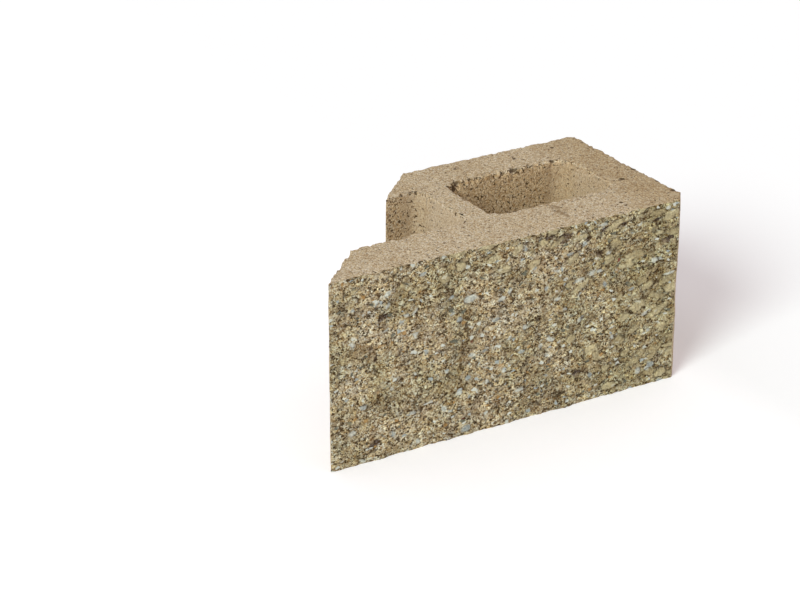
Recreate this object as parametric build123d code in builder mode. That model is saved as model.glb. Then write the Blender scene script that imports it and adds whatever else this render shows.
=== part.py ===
import os
from math import cos, radians, sin

from build123d import *

# Corner fence block: one hollow concrete casting, split along its front and mitred at its left end.
# It stands on its bed face, centred on the Z axis, with the split face towards -Y, the mitre towards -X
# and the plain end towards +X. All lengths are in millimetres and all angles in degrees.

# Overall size
block_length = 400.0
block_depth = 200.0
block_height = 190.0

# Outline in plan
mitre_angle = 45.0
nose_flat = 3.0
end_chamfer_length = 12.0
end_chamfer_depth = 16.0
end_corner_radius = 6.0

# Walls round the hollows, measured on the top face
front_shell = 60.0
back_shell = 49.0
end_wall = 44.0
cell_length = 144.0
web = 26.0

# Hollows as the tapered cores leave them
closed_core_corner = 18.0
half_core_corner = 13.0
core_draft = 1.5

# Rounding of the moulded arrises
arris_radius = 1.5

# Unevenness of the split face: how deep its wave trains go together, and the trains, broad swells first
# and lumps after them, each with its wave length, its heading across the face, its phase and its share
split_relief = 7.4
split_waves = [
    (210.0, 15.0, 190.0, 0.20),
    (125.0, 70.0, 350.0, 0.165),
    (90.0, -40.0, 70.0, 0.125),
    (66.0, 10.0, 220.0, 0.11),
    (52.0, -40.0, 340.0, 0.10),
    (43.0, 50.0, 300.0, 0.09),
    (35.0, 35.0, 40.0, 0.08),
    (28.0, -10.0, 240.0, 0.07),
    (23.0, -65.0, 330.0, 0.06),
]
split_grid = 6.0

left = -block_length / 2
right = block_length / 2
front = -block_depth / 2
back = block_depth / 2

cell_front = front + front_shell
cell_back = back - back_shell
cell_width = cell_back - cell_front
cell_middle = (cell_front + cell_back) / 2
cell_right = right - end_wall
cell_left = cell_right - cell_length
half_cell_right = cell_left - web
half_cell_length = half_cell_right - left + 2 * half_core_corner


def split_depth(along, up):
    """Depth of the wave trains together, at a place on the front of the block."""
    depth = 0.0
    for wave_length, heading, phase, share in split_waves:
        travel = along * cos(radians(heading)) + up * sin(radians(heading))
        wave = sin(radians(360.0 * travel / wave_length + phase))
        depth += split_relief * share * (1.0 + wave) / 2
    return depth


def places_between(start, stop, spacing):
    """Evenly spaced places from start to stop, about that far apart."""
    steps = round((stop - start) / spacing)
    return [start + (stop - start) * step / steps for step in range(steps + 1)]


# The surface of the split, taken a little past the block on all sides, with its foremost place on the
# front plane of the block
foremost = min(
    split_depth(x, z)
    for x in places_between(left, right - end_chamfer_length, split_grid / 6)
    for z in places_between(0.0, block_height, split_grid / 6)
)
split_columns = places_between(left - split_grid, right, split_grid)
split_rows = places_between(-split_grid, block_height + split_grid, split_grid)
split_face = Face.make_surface_from_array_of_points(
    [[(x, front + split_depth(x, z) - foremost, z) for x in split_columns] for z in split_rows]
)

with BuildPart() as corner_block:
    # Body: the plan outline, not yet mitred or split, raised to the full height. Ahead of the split it has
    # waste, along the line of the end chamfer
    waste_front = front - split_relief
    waste_right = right - end_chamfer_length * (1.0 + split_relief / end_chamfer_depth)
    with BuildSketch() as outline:
        with BuildLine():
            Polyline(
                (left, waste_front),
                (waste_right, waste_front),
                (right, front + end_chamfer_depth),
                (right, back),
                (left, back),
                close=True,
            )
        make_face()
        fillet(outline.vertices().group_by(Axis.Y)[-1].sort_by(Axis.X)[-1], end_corner_radius)
    extrude(amount=block_height)

    # Closed cell, and the half cell that runs out past the mitre
    with BuildSketch(Plane.XY.offset(block_height)):
        with Locations(((cell_left + cell_right) / 2, cell_middle)):
            RectangleRounded(cell_length, cell_width, closed_core_corner)
        with Locations((half_cell_right - half_cell_length / 2, cell_middle)):
            RectangleRounded(half_cell_length, cell_width, half_core_corner)
    extrude(amount=-block_height, taper=core_draft, mode=Mode.SUBTRACT)

    # Arrises of the top face, along the back, round the plain end and round the cells
    rims = corner_block.faces().sort_by(Axis.Z)[-1].edges()
    fillet(rims - rims.group_by(Axis.X)[0] - rims.group_by(Axis.Y)[0], arris_radius)

    # The mitre takes the left end off, up to the blunt nose
    mitre_lean = radians(mitre_angle)
    mitre = Plane((left, front + nose_flat, 0), z_dir=(sin(mitre_lean), -cos(mitre_lean), 0))
    split(bisect_by=mitre, keep=Keep.TOP)

    # The split takes the waste off along its uneven surface
    extrude(split_face, amount=2 * split_relief, dir=(0, -1, 0), mode=Mode.SUBTRACT)

corner_block.part.label = "corner_block"

os.makedirs("parts", exist_ok=True)
export_step(corner_block.part, "parts/corner_block.step")
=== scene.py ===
from itertools import product
from math import cos, pi, radians, sin, sqrt, tan

import bpy
import numpy as np
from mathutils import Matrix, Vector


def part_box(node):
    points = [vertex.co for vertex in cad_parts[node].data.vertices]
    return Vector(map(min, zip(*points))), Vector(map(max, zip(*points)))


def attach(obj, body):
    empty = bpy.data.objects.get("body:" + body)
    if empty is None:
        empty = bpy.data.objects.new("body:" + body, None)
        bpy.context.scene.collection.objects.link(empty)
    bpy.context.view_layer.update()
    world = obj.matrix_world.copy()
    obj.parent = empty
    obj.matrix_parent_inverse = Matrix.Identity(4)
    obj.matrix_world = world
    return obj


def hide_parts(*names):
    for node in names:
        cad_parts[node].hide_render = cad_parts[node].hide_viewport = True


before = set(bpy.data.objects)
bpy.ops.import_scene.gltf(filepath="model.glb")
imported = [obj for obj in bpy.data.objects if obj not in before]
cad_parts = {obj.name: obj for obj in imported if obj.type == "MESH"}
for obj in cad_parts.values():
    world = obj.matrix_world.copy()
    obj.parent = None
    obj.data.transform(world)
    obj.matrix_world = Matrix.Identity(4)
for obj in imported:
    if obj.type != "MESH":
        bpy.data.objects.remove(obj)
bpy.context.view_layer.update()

# The corner fence block is one concrete casting. Its moulded faces and its split front are one closed mesh,
# worked out in millimetres in the block's own frame: split front towards -Y, mitre towards -X, bed at Z 0.
MM = 0.001
low, high = (np.array(corner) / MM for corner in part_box("corner_block"))
LEFT, FRONT, BED = low
RIGHT, BACK, TOP = high

# Plan of the block, as in the solid that the mesh stands for
NOSE_FLAT = 3.0
END_CHAMFER_LENGTH = 12.0
END_CHAMFER_DEPTH = 16.0
END_CORNER_RADIUS = 6.0
FRONT_SHELL = 60.0
BACK_SHELL = 49.0
END_WALL = 44.0
CELL_LENGTH = 144.0
WEB = 26.0
CLOSED_CORE_CORNER = 18.0
HALF_CORE_CORNER = 13.0
CORE_DRAFT = tan(radians(1.5))

CELL_FRONT = FRONT + FRONT_SHELL
CELL_BACK = BACK - BACK_SHELL
CELL_RIGHT = RIGHT - END_WALL
CELL_LEFT = CELL_RIGHT - CELL_LENGTH
HALF_CELL_RIGHT = CELL_LEFT - WEB

# The mitre runs at 45 degrees from the nose: on it x is y less this much
MITRE_SHIFT = FRONT + NOSE_FLAT - LEFT

# Wave trains of the split front: depth, and wave length, heading, phase and share of each train
SPLIT_RELIEF = 7.4
SPLIT_WAVES = (
    (210.0, 15.0, 190.0, 0.20),
    (125.0, 70.0, 350.0, 0.165),
    (90.0, -40.0, 70.0, 0.125),
    (66.0, 10.0, 220.0, 0.11),
    (52.0, -40.0, 340.0, 0.10),
    (43.0, 50.0, 300.0, 0.09),
    (35.0, 35.0, 40.0, 0.08),
    (28.0, -10.0, 240.0, 0.07),
    (23.0, -65.0, 330.0, 0.06),
)
SPLIT_FOREMOST = 1.227

# Stones that show in the split: x, z, half length, half breadth and kind. A kind is a place on the ramp of
# stone colours
STONE_LEAN = radians(12.0)
PALE, BLUE, OLIVE, DARK, RED, OCHRE = 0.02, 0.04, 0.36, 0.42, 0.96, 0.99
SPLIT_STONES = (
    (174.8, 184.6, 3.0, 2.2, PALE),
    (156.3, 164.2, 8.0, 4.0, OLIVE),
    (161.4, 132.7, 4.0, 3.0, PALE),
    (180.4, 114.8, 6.5, 1.8, PALE),
    (162.4, 20.0, 4.5, 3.5, BLUE),
    (146.7, 17.4, 4.0, 3.6, PALE),
    (152.3, 77.6, 4.5, 2.2, PALE),
    (135.3, 108.1, 4.0, 2.0, BLUE),
    (113.2, 73.0, 4.5, 1.6, PALE),
    (104.2, 119.4, 2.4, 3.4, BLUE),
    (97.6, 109.4, 3.0, 1.6, OCHRE),
    (118.9, 130.7, 3.4, 2.4, OCHRE),
    (73.6, 130.5, 6.5, 2.0, PALE),
    (61.1, 161.2, 4.0, 2.2, BLUE),
    (10.4, 81.8, 5.0, 2.0, DARK),
    (7.8, 72.4, 3.6, 2.4, BLUE),
    (-15.0, 132.5, 4.5, 2.4, PALE),
    (-45.0, 123.6, 2.4, 4.0, DARK),
    (-47.5, 95.9, 2.2, 1.8, RED),
    (-49.7, 140.6, 7.0, 3.6, PALE),
    (-50.0, 58.5, 3.6, 2.6, BLUE),
    (-53.3, 6.7, 5.5, 3.2, BLUE),
    (-60.5, 45.3, 3.6, 2.4, PALE),
    (-69.3, 129.3, 3.0, 2.0, PALE),
    (-76.8, 33.2, 3.4, 3.2, PALE),
    (-89.8, 30.3, 6.0, 4.2, OLIVE),
    (-98.4, 132.0, 3.4, 2.4, DARK),
    (-177.8, 34.6, 4.5, 2.8, PALE),
)

# Zones where the split is darker: x, z, half length and half height
SPLIT_DARK_ZONES = (
    (163.0, 115.0, 15.0, 16.0),
    (120.0, 111.0, 12.0, 14.0),
    (126.0, 86.0, 9.0, 14.0),
    (158.0, 146.0, 9.0, 9.0),
    (48.0, 128.0, 12.0, 14.0),
    (77.0, 36.0, 11.0, 10.0),
    (98.0, 37.0, 9.0, 10.0),
    (30.0, 156.0, 10.0, 12.0),
    (-53.0, 89.0, 13.0, 13.0),
    (-160.0, 110.0, 14.0, 13.0),
    (-185.0, 148.0, 13.0, 16.0),
    (-155.0, 19.0, 10.0, 10.0),
    (-16.0, 25.0, 10.0, 11.0),
)

# Places where the split is torn deeper: x, z, half length and half height
SPLIT_TEARS = (
    (39.0, 183.0, 6.0, 4.0),
    (56.0, 178.0, 9.0, 5.0),
    (83.6, 172.0, 3.4, 3.0),
    (103.0, 176.7, 6.0, 3.0),
    (122.3, 177.7, 5.5, 2.6),
    (97.1, 152.2, 3.6, 2.6),
    (164.0, 175.0, 8.0, 1.6),
    (175.9, 152.1, 7.0, 3.4),
    (77.3, 91.5, 2.4, 2.4),
    (72.9, 34.0, 6.0, 3.4),
    (-106.1, 72.7, 2.0, 2.4),
    (-150.6, 102.7, 2.0, 3.0),
    (-144.0, 143.3, 5.0, 3.0),
    (-153.9, 17.4, 6.0, 4.0),
)

# Spacing of the mesh: the split front has twice as many columns and rows as the moulded faces beside it
COLUMN_STEP = 2.7
END_STEP = 2.4
BACK_STEP = 2.1
WEB_STEP = 3.2
ROW_STEP = 2.9
FIRST_ROW = 0.7
ROW_GROWTH = 1.25
TOP_STEPS = 22
RING_BED_STEPS = 8
CELL_WALL_STEPS = 36
CORNER_STEPS = 2
ARC_POINTS = 24


# Noise. Points find their random numbers in tables, by a hash of the lattice cell that they lie in

NOISE_COUNT = 4096
NOISE_HASH = (73856093, 19349663, 83492791)
CHIP_COUNT = 2048
CHIP_HASH = (7919, 104729)
CHIP_SHIFT = 0.38
CHIP_SIDES = 5
CHIP_SKEW = 0.45


def lattice_noise(points, size, seed):
    """Value noise from -1 to 1: random numbers on a cubic lattice of that size, eased between its corners."""
    table = np.random.default_rng(seed).uniform(-1.0, 1.0, NOISE_COUNT)
    cell = np.floor(points / size).astype(np.int64)
    part = points / size - cell
    ease = part * part * (3.0 - 2.0 * part)
    total = np.zeros(len(points))
    for corner in product((0, 1), repeat=3):
        step = np.array(corner)
        number = ((cell + step) * NOISE_HASH).sum(axis=1)
        share = np.where(step, ease, 1.0 - ease).prod(axis=1)
        total += share * table[number % NOISE_COUNT]
    return total


def layered_noise(points, layers, seed):
    """Sum of lattice noises, one for each pair of size and height."""
    return sum(
        height * lattice_noise(points, size, seed + order) for order, (size, height) in enumerate(layers)
    )


def scattered_chips(along, up, spacing, length, breadth, lean, seed):
    """Angular chips scattered over a plane: each cell of a jittered square lattice holds one convex polygon,
    the overlap of five half planes round its centre, drawn out along its own lean. Gives how far out from
    the middle of the nearest chip a place lies, 1 at its rim, and that chip's number in the random table."""
    chance = np.random.default_rng(seed)
    shift = chance.uniform(-CHIP_SHIFT, CHIP_SHIFT, (CHIP_COUNT, 2))
    lengths = chance.uniform(*length, CHIP_COUNT)
    breadths = chance.uniform(*breadth, CHIP_COUNT)
    leans = np.radians(chance.normal(*lean, CHIP_COUNT))
    skew = chance.uniform(-CHIP_SKEW, CHIP_SKEW, (CHIP_COUNT, CHIP_SIDES))
    sides = np.arange(CHIP_SIDES) * 2 * pi / CHIP_SIDES + skew
    hash_along, hash_up = CHIP_HASH
    cell_along = np.floor(along / spacing).astype(np.int64)
    cell_up = np.floor(up / spacing).astype(np.int64)
    nearest = np.full(along.shape, np.inf)
    chosen = np.zeros(along.shape, np.int64)
    for step_along, step_up in product((-1, 0, 1), repeat=2):
        number = ((cell_along + step_along) * hash_along + (cell_up + step_up) * hash_up) % CHIP_COUNT
        off_along = along - (cell_along + step_along + 0.5 + shift[number, 0]) * spacing
        off_up = up - (cell_up + step_up + 0.5 + shift[number, 1]) * spacing
        lengthwise = off_along * np.cos(leans[number]) + off_up * np.sin(leans[number])
        crosswise = off_up * np.cos(leans[number]) - off_along * np.sin(leans[number])
        lengthwise = lengthwise / lengths[number]
        crosswise = crosswise / breadths[number]
        reach = np.max(
            [lengthwise * np.cos(side) + crosswise * np.sin(side) for side in sides[number].T], axis=0
        )
        closer = reach < nearest
        nearest = np.where(closer, reach, nearest)
        chosen = np.where(closer, number, chosen)
    return nearest, chosen


def chip_lot(chip, seed, start=0.0, stop=1.0):
    """A random number for each chip, by its number in the table."""
    return np.random.default_rng(seed).uniform(start, stop, CHIP_COUNT)[chip]


def fade(value, start, stop):
    """Smooth step from 0 at start to 1 at stop."""
    share = np.clip((value - start) / (stop - start), 0.0, 1.0)
    return share * share * (3.0 - 2.0 * share)


# Relief of the split front. A noise is a row of layers, each with its size and its height. A scatter of chips
# is a spacing, ranges of half length and half breadth, the mean and the spread of the lean, and a seed. A rim
# is how far out a chip starts to fade and where it ends.

EDGE_CALM = 0.55
EDGE_CALM_REACH = 14.0
DARK_ZONE_RIM = (0.2, 1.2)
CRUMB_NOISE = ((15.0, 0.8), (8.0, 0.55), (4.4, 0.42), (2.7, 0.38))
CRUMB_SEED = 21
RAGGED_NOISE = ((3.0, 0.25), (1.9, 0.2))
RAGGED_SEED = 27
FLAKY_TOP = (TOP - 45.0, TOP - 10.0)
FLAKY_TOP_SHARE = 0.35
FLAKY_END = (10.0, 160.0)
FLAKY_END_SHARE = 0.5
GRAVEL_SCATTER = (8.5, (2.0, 4.8), (1.3, 2.6), (8.0, 22.0), 31)
GRAVEL_KIND_SEED = 32
GRAVEL_PROUD_SEED = 33
GRAVEL_PROUD = (-0.5, 0.7)
GRAVEL_SHARE = 0.42
GRAVEL_FLAKY_SHARE = 0.6
GRAVEL_RIM = (0.82, 1.08)
GRAVEL_SMOOTH = 0.7
FLAKE_SCATTER = (17.0, (5.0, 9.5), (2.6, 5.0), (12.0, 16.0), 36)
FLAKE_CHANCE_SEED = 37
FLAKE_SHARE = 1.4
FLAKE_REACH = 1.1
FLAKE_RIM = (0.85, 1.08)
FLAKE_KIND = 0.76
FLAKE_KIND_RANGE = 0.25
CRACK_LINE = 1.08
CRACK_RIM = (0.2, 0.05)
CRACK_RAGGED = 0.6
CRACK_DEPTH = 0.75
STONE_REACH = 1.3
STONE_RIM = (0.8, 1.1)
STONE_RAGGED = 0.5
SOCKET_SCATTER = (11.0, (1.6, 4.4), (1.1, 2.2), (12.0, 30.0), 41)
SOCKET_SEED = 42
SOCKET_SHARE = 0.5
SOCKET_FLAKY_SHARE = 0.3
SOCKET_RIM = (0.45, 1.1)
TEAR_RIM = (0.5, 1.25)
TEAR_RAGGED = 1.2
HOLLOW_DEPTH = 2.0


def split_waves(along, up):
    """Depth of the swells and lumps behind the foremost plane: a sum of sine trains across the face, calmed
    towards the top and the bed, along which the split was started."""
    depth = np.full(np.broadcast(along, up).shape, -SPLIT_FOREMOST)
    for wave_length, heading, phase, share in SPLIT_WAVES:
        travel = along * cos(radians(heading)) + up * sin(radians(heading))
        wave = np.sin(2 * pi * travel / wave_length + radians(phase))
        depth = depth + SPLIT_RELIEF * share * (1.0 + wave) / 2
    calm = EDGE_CALM * fade(np.minimum(TOP - up, up - BED), EDGE_CALM_REACH, 0.0)
    return depth + calm * (SPLIT_RELIEF / 2 - SPLIT_FOREMOST - depth)


def dark_zone_share(along, up):
    """How much darker the split is made, from 0 to 1: round zones that fade out from their middles."""
    share = np.zeros_like(along)
    for x, z, length, height in SPLIT_DARK_ZONES:
        reach = np.hypot((along - x) / length, (up - z) / height)
        share = np.maximum(share, 1.0 - fade(reach, *DARK_ZONE_RIM))
    return share


def leaning_reach(along, up, x, z, length, breadth):
    """How far out a place lies in an oval round x and z that leans as the stones do, 1 at its rim."""
    lengthwise = (along - x) * cos(STONE_LEAN) + (up - z) * sin(STONE_LEAN)
    crosswise = (up - z) * cos(STONE_LEAN) - (along - x) * sin(STONE_LEAN)
    return np.hypot(lengthwise / length, crosswise / breadth)


def split_surface(along, up):
    """Depth of the broken face, with the places where it is torn out or torn deeper, where stones show, and
    their kind. The waves carry a crumb of layered noise; chips of gravel and, towards the top and the plain
    end, broad flakes with cracks round them stand out of it as flat facets, and sockets and tears with ragged
    rims sink into it."""
    place = np.stack([along, np.zeros_like(along), up], axis=-1)
    crumb = layered_noise(place, CRUMB_NOISE, CRUMB_SEED)
    ragged = layered_noise(place, RAGGED_NOISE, RAGGED_SEED)
    flaky = np.maximum(fade(up, *FLAKY_TOP) * FLAKY_TOP_SHARE, fade(along, *FLAKY_END) * FLAKY_END_SHARE)

    reach, chip = scattered_chips(along, up, *GRAVEL_SCATTER)
    kind = chip_lot(chip, GRAVEL_KIND_SEED)
    there = kind < GRAVEL_SHARE + GRAVEL_FLAKY_SHARE * flaky
    gravel = np.where(there, 1.0 - fade(reach, *GRAVEL_RIM), 0.0)
    proud = chip_lot(chip, GRAVEL_PROUD_SEED, *GRAVEL_PROUD)
    reach, flake = scattered_chips(along, up, *FLAKE_SCATTER)
    chance = chip_lot(flake, FLAKE_CHANCE_SEED)
    there = chance < FLAKE_SHARE * flaky
    broad = there & (reach < FLAKE_REACH)
    gravel = np.where(broad, 1.0 - fade(reach, *FLAKE_RIM), gravel)
    kind = np.where(broad, FLAKE_KIND + FLAKE_KIND_RANGE * chance, kind)
    crack = np.where(there, fade(np.abs(reach + CRACK_RAGGED * ragged - CRACK_LINE), *CRACK_RIM), 0.0)
    for x, z, length, breadth, tint in SPLIT_STONES:
        reach = leaning_reach(along, up, x, z, length, breadth)
        shown = 1.0 - fade(reach + STONE_RAGGED * ragged, *STONE_RIM)
        gravel = np.where(reach < STONE_REACH, shown, gravel)
        kind = np.where(reach < STONE_REACH, tint, kind)
    depth = split_waves(along, up) + crumb - gravel * (proud + GRAVEL_SMOOTH * crumb)

    reach, socket = scattered_chips(along, up, *SOCKET_SCATTER)
    empty = chip_lot(socket, SOCKET_SEED) < SOCKET_SHARE + SOCKET_FLAKY_SHARE * flaky
    sunk = np.where(empty, 1.0 - fade(reach + ragged, *SOCKET_RIM), 0.0) * (1.0 - gravel)
    sunk = np.maximum(sunk, CRACK_DEPTH * crack)
    torn = np.zeros_like(depth)
    for x, z, length, height in SPLIT_TEARS:
        reach = leaning_reach(along, up, x, z, length, height)
        torn = np.maximum(torn, 1.0 - fade(reach + TEAR_RAGGED * ragged, *TEAR_RIM))
    return depth + HOLLOW_DEPTH * np.maximum(sunk, torn), sunk, torn, gravel, kind


# Outlines in plan. A run is an array of points with six numbers each: x, y, the way that the point slides
# for each millimetre that the cores taper, and the way from the edge into the concrete.

def straight_run(start, end, inward, slides):
    """Points along a straight edge, with the slide going evenly from the first to the second."""
    share = np.linspace(0.0, 1.0, ARC_POINTS)[:, None]
    places = np.array(start) + share * (np.array(end) - np.array(start))
    slide = np.array(slides[0]) + share * (np.array(slides[1]) - np.array(slides[0]))
    return np.hstack([places, slide, np.broadcast_to(np.array(inward, float), places.shape)])


def arc_run(centre, radius, start, stop, side):
    """Points along an arc between two angles in degrees. Side is 1 where the concrete is outside the arc."""
    angle = np.radians(np.linspace(start, stop, ARC_POINTS))
    spoke = np.stack([np.cos(angle), np.sin(angle)], axis=1)
    return np.hstack([np.array(centre) + radius * spoke, -spoke, side * spoke])


def spaced(runs, count):
    """The joined runs at evenly spaced places along their length."""
    points = np.vstack(runs)
    length = np.concatenate([[0.0], np.cumsum(np.hypot(*np.diff(points[:, :2], axis=0).T))])
    wanted = np.linspace(0.0, length[-1], count + 1)
    return np.stack([np.interp(wanted, length, column) for column in points.T], axis=1)


def joined(*stretches):
    """Stretches of one outline end to end, each without the point where the next one starts."""
    return np.vstack([stretch[:-1] for stretch in stretches[:-1]] + [stretches[-1]])


def steps_for(length, step):
    """Number of even steps, about that long, over a length."""
    return max(1, round(length / step))


# The frame line runs behind the split front, where the finer mesh of the split meets the moulded faces
FRAME_DEPTH = NOSE_FLAT
FRAME_LINE = FRONT + FRAME_DEPTH
CHAMFER_TOP = RIGHT - END_CHAMFER_LENGTH
CHAMFER_FRAME = CHAMFER_TOP + END_CHAMFER_LENGTH * FRAME_DEPTH / END_CHAMFER_DEPTH
CHAMFER_END = FRONT + END_CHAMFER_DEPTH

# The web line parts the ring round the closed cell from the bend round the half cell
WEB_LINE = BACK + LEFT - FRAME_LINE

LEFT_COLUMNS = steps_for(WEB_LINE - LEFT, COLUMN_STEP)
RIGHT_COLUMNS = steps_for(CHAMFER_FRAME - WEB_LINE, COLUMN_STEP)
CHAMFER_COLUMNS = steps_for(CHAMFER_END - FRAME_LINE, COLUMN_STEP)
END_COLUMNS = steps_for(BACK - END_CORNER_RADIUS - CHAMFER_END, END_STEP)
BACK_COLUMNS = steps_for(RIGHT - END_CORNER_RADIUS - WEB_LINE, BACK_STEP)
WEB_COLUMNS = steps_for(BACK - FRAME_LINE, WEB_STEP)


def graded_heights():
    """Heights from the top down to the bed: the steps grow from both ends, by one ratio, to the even step."""
    count = int(np.ceil(np.log(ROW_STEP / FIRST_ROW) / np.log(ROW_GROWTH)))
    ease = FIRST_ROW * ROW_GROWTH ** np.arange(count)
    rest = TOP - BED - 2 * ease.sum()
    steps = steps_for(rest, ROW_STEP)
    even = np.full(steps, 1.0) * rest / steps
    return TOP - np.concatenate([[0.0], np.cumsum(np.concatenate([ease, even, ease[::-1]]))])


def halved(values):
    """The values with the middle of each step put in between."""
    finer = np.empty(2 * len(values) - 1)
    finer[::2] = values
    finer[1::2] = (values[1:] + values[:-1]) / 2
    return finer


def eased_shares(count):
    """Shares from 0 to 1 with short steps at both ends, spaced as half a turn of a circle seen edge on."""
    return (1.0 - np.cos(np.linspace(0.0, pi, count + 1))) / 2


HEIGHTS = graded_heights()


def closed_cell_rim():
    """Rim of the closed cell, once round from its front left corner: straight sides and round corners."""
    radius = CLOSED_CORE_CORNER
    ahead, behind = CELL_FRONT + radius, CELL_BACK - radius
    first, last = CELL_LEFT + radius, CELL_RIGHT - radius
    front = straight_run((first, CELL_FRONT), (last, CELL_FRONT), (0, -1), ((0, 1), (0, 1)))
    end = straight_run((CELL_RIGHT, ahead), (CELL_RIGHT, behind), (1, 0), ((-1, 0), (-1, 0)))
    back = straight_run((last, CELL_BACK), (first, CELL_BACK), (0, 1), ((0, -1), (0, -1)))
    web = straight_run((CELL_LEFT, behind), (CELL_LEFT, ahead), (-1, 0), ((1, 0), (1, 0)))

    def corner(x, y, start, stop):
        return arc_run((x, y), radius, start, stop, 1)

    return joined(
        spaced(
            [corner(first, ahead, 225, 270), front, corner(last, ahead, -90, -45)],
            RIGHT_COLUMNS + CHAMFER_COLUMNS,
        ),
        spaced(
            [corner(last, ahead, -45, 0), end, corner(last, behind, 0, 45)],
            END_COLUMNS + CORNER_STEPS,
        ),
        spaced(
            [corner(last, behind, 45, 90), back, corner(first, behind, 90, 135)],
            BACK_COLUMNS + CORNER_STEPS,
        ),
        spaced(
            [corner(first, behind, 135, 180), web, corner(first, ahead, 180, 225)],
            WEB_COLUMNS,
        ),
    )


def half_cell_rim():
    """Rim of the half cell from the mitre, along the front, the web and the back, to the mitre again.
    Where it runs out at the mitre, its ends slide along the mitre as the core tapers."""
    radius = HALF_CORE_CORNER
    ahead, behind = CELL_FRONT + radius, CELL_BACK - radius
    last = HALF_CELL_RIGHT - radius
    mitre_front = (CELL_FRONT - MITRE_SHIFT, CELL_FRONT)
    mitre_back = (CELL_BACK - MITRE_SHIFT, CELL_BACK)
    front = straight_run(mitre_front, (last, CELL_FRONT), (0, -1), ((1, 1), (0, 1)))
    web = straight_run((HALF_CELL_RIGHT, ahead), (HALF_CELL_RIGHT, behind), (1, 0), ((-1, 0), (-1, 0)))
    back = straight_run((last, CELL_BACK), mitre_back, (0, 1), ((0, -1), (-1, -1)))
    near = (last, ahead)
    far = (last, behind)
    return joined(
        spaced([front, arc_run(near, radius, -90, -45, 1)], LEFT_COLUMNS),
        spaced(
            [arc_run(near, radius, -45, 0, 1), web, arc_run(far, radius, 0, 90, 1), back],
            WEB_COLUMNS,
        ),
    )


STILL = ((0, 0), (0, 0))


def outer_lines():
    """Outer lines of the top and the bed, keyed by side, each with the way into the concrete."""
    corner = (RIGHT - END_CORNER_RADIUS, BACK - END_CORNER_RADIUS)
    slope = np.array([-END_CHAMFER_DEPTH, END_CHAMFER_LENGTH])
    slope = slope / np.hypot(*slope)
    rounded = arc_run(corner, END_CORNER_RADIUS, 0, 90, -1)
    rounded[:, 2:4] = 0.0
    lines = {
        "left_front": ((LEFT, FRAME_LINE), (WEB_LINE, FRAME_LINE), (0, 1), LEFT_COLUMNS),
        "right_front": ((WEB_LINE, FRAME_LINE), (CHAMFER_FRAME, FRAME_LINE), (0, 1), RIGHT_COLUMNS),
        "chamfer": ((CHAMFER_FRAME, FRAME_LINE), (RIGHT, CHAMFER_END), slope, CHAMFER_COLUMNS),
        "end": ((RIGHT, CHAMFER_END), (RIGHT, corner[1]), (-1, 0), END_COLUMNS),
        "back": ((corner[0], BACK), (WEB_LINE, BACK), (0, -1), BACK_COLUMNS),
        "web": ((WEB_LINE, BACK), (WEB_LINE, FRAME_LINE), (1, 0), WEB_COLUMNS),
    }
    sampled = {
        side: spaced([straight_run(start, stop, inward, STILL)], count)
        for side, (start, stop, inward, count) in lines.items()
    }
    sampled["corner"] = spaced([rounded], 2 * CORNER_STEPS)
    return sampled


# The mesh is gathered patch by patch. Each patch is a grid of nominal places, by which the patches are
# welded, and of placed points, which have the rounding of the arrises.

WELD_DIGITS = 3
NEAR = 0.01


class Shell:
    """Patches of one closed surface."""

    def __init__(self):
        self.nominal = []
        self.placed = []
        self.torn = []
        self.triangles = []
        self.split_faces = []
        self.count = 0

    def add_points(self, nominal, placed, torn):
        """Takes in a grid of points and gives their numbers, in the same grid."""
        shape = nominal.shape[:-1]
        numbers = self.count + np.arange(nominal[..., 0].size).reshape(shape)
        self.nominal.append(nominal.reshape(-1, 3))
        self.placed.append(placed.reshape(-1, 3))
        self.torn.append(np.broadcast_to(torn, shape).reshape(-1))
        self.count += numbers.size
        return numbers

    def add_triangles(self, triangles, turned, is_split=False):
        """Takes in triangles, with their corners in the other order where they are turned."""
        triangles = triangles[:, ::-1] if turned else triangles
        self.triangles.append(triangles)
        self.split_faces.append(np.full(len(triangles), is_split))

    def add_grid(self, nominal, placed=None, torn=0.0, turned=False, is_split=False):
        """Takes in a grid patch: each cell becomes two triangles, every second cell halved the other way."""
        numbers = self.add_points(nominal, nominal if placed is None else placed, torn)
        a, b = numbers[:-1, :-1], numbers[:-1, 1:]
        d, c = numbers[1:, :-1], numbers[1:, 1:]
        rows, columns = np.indices(a.shape)
        even = ((rows + columns) % 2 == 0)[..., None]
        first = np.where(even, np.stack([a, b, c], -1), np.stack([a, b, d], -1))
        second = np.where(even, np.stack([a, c, d], -1), np.stack([b, c, d], -1))
        self.add_triangles(np.concatenate([first.reshape(-1, 3), second.reshape(-1, 3)]), turned, is_split)

    def add_seam(self, fine, coarse, turned=False):
        """Takes in the strip between a fine line of points and a coarse one with half as many steps."""
        f = self.add_points(fine, fine, 0.0)
        c = self.add_points(coarse, coarse, 0.0)
        triangles = np.concatenate([
            np.stack([f[:-2:2], f[1::2], c[:-1]], -1),
            np.stack([f[1::2], c[1:], c[:-1]], -1),
            np.stack([f[1::2], f[2::2], c[1:]], -1),
        ])
        self.add_triangles(triangles, turned)

    def welded(self):
        """Points that share a nominal place become one. The first patch that has it places it."""
        nominal = np.concatenate(self.nominal)
        keys = np.round(nominal, WELD_DIGITS)
        _, first, number = np.unique(keys, axis=0, return_index=True, return_inverse=True)
        triangles = number.reshape(-1)[np.concatenate(self.triangles)]
        return (
            nominal[first],
            np.concatenate(self.placed)[first],
            np.concatenate(self.torn)[first],
            triangles,
            np.concatenate(self.split_faces),
        )


def at_height(plan, height):
    """Plan points, two numbers each, at one height."""
    return np.concatenate([plan, np.full(plan.shape[:-1] + (1,), height)], axis=-1)


def at_heights(plan, heights):
    """Rows of plan points, each row at its own height."""
    return np.concatenate([plan, np.broadcast_to(heights[:, None, None], plan.shape[:2] + (1,))], axis=-1)


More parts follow.
